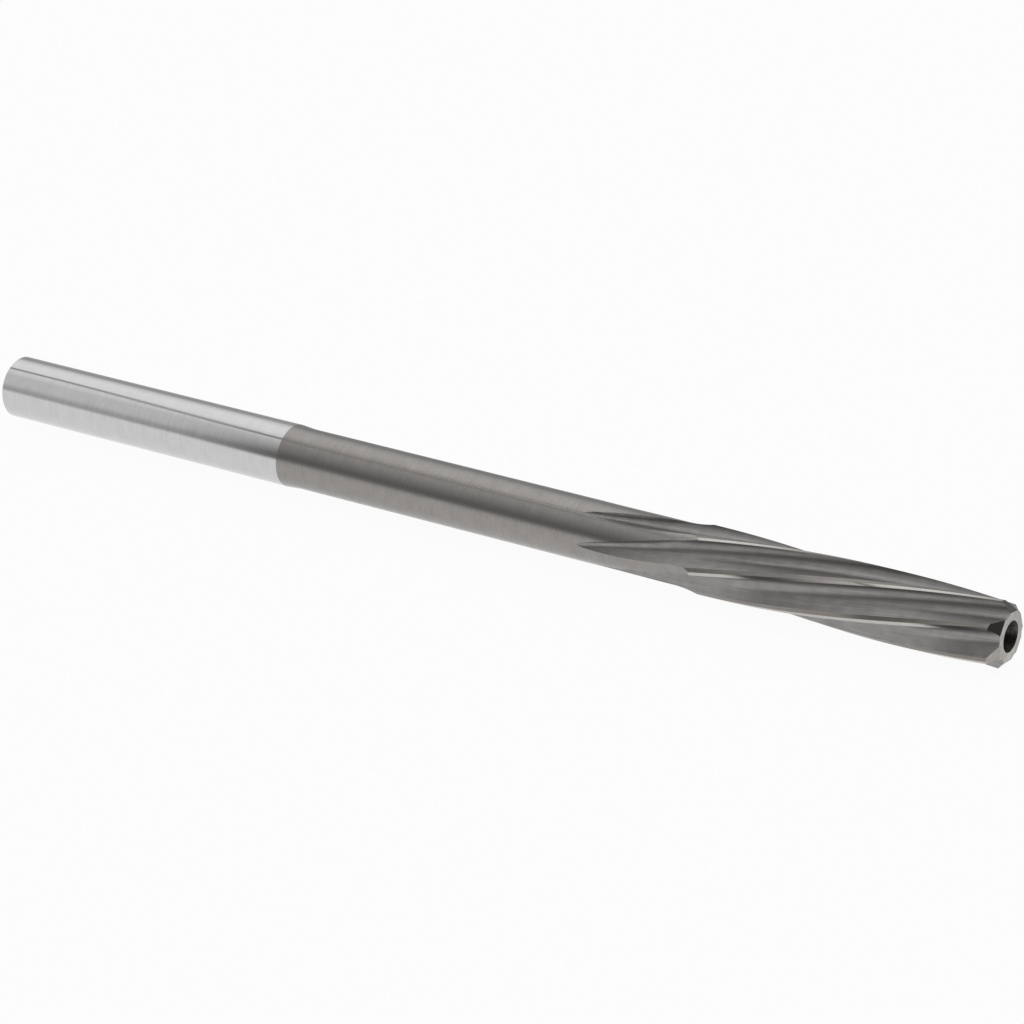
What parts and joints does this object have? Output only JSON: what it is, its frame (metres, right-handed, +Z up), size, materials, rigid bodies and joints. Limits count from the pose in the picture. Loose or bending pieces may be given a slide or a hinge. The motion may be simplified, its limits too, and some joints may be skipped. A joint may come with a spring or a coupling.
{
  "type": "machine reamer",
  "caption": "Straight-shank machine reamer: a slim round bar with a polished shank, a ground neck and a fluted cutting end with slow left-hand helical teeth and a short lead bevel.",
  "frame": {"origin": "centre of the shank's end face", "axes": "+X along the tool's axis, from the shank towards the cutting end; +Z up; the pictured side faces -Y"},
  "size_m": [0.081, 0.0048, 0.0048],
  "materials": {
    "ground_steel": "ground high-speed steel, polished bright on the shank and on the margins of the teeth"
  },
  "bodies": {
    "root": {"machine_reamer": "ground_steel"}
  },
  "joints": []
}
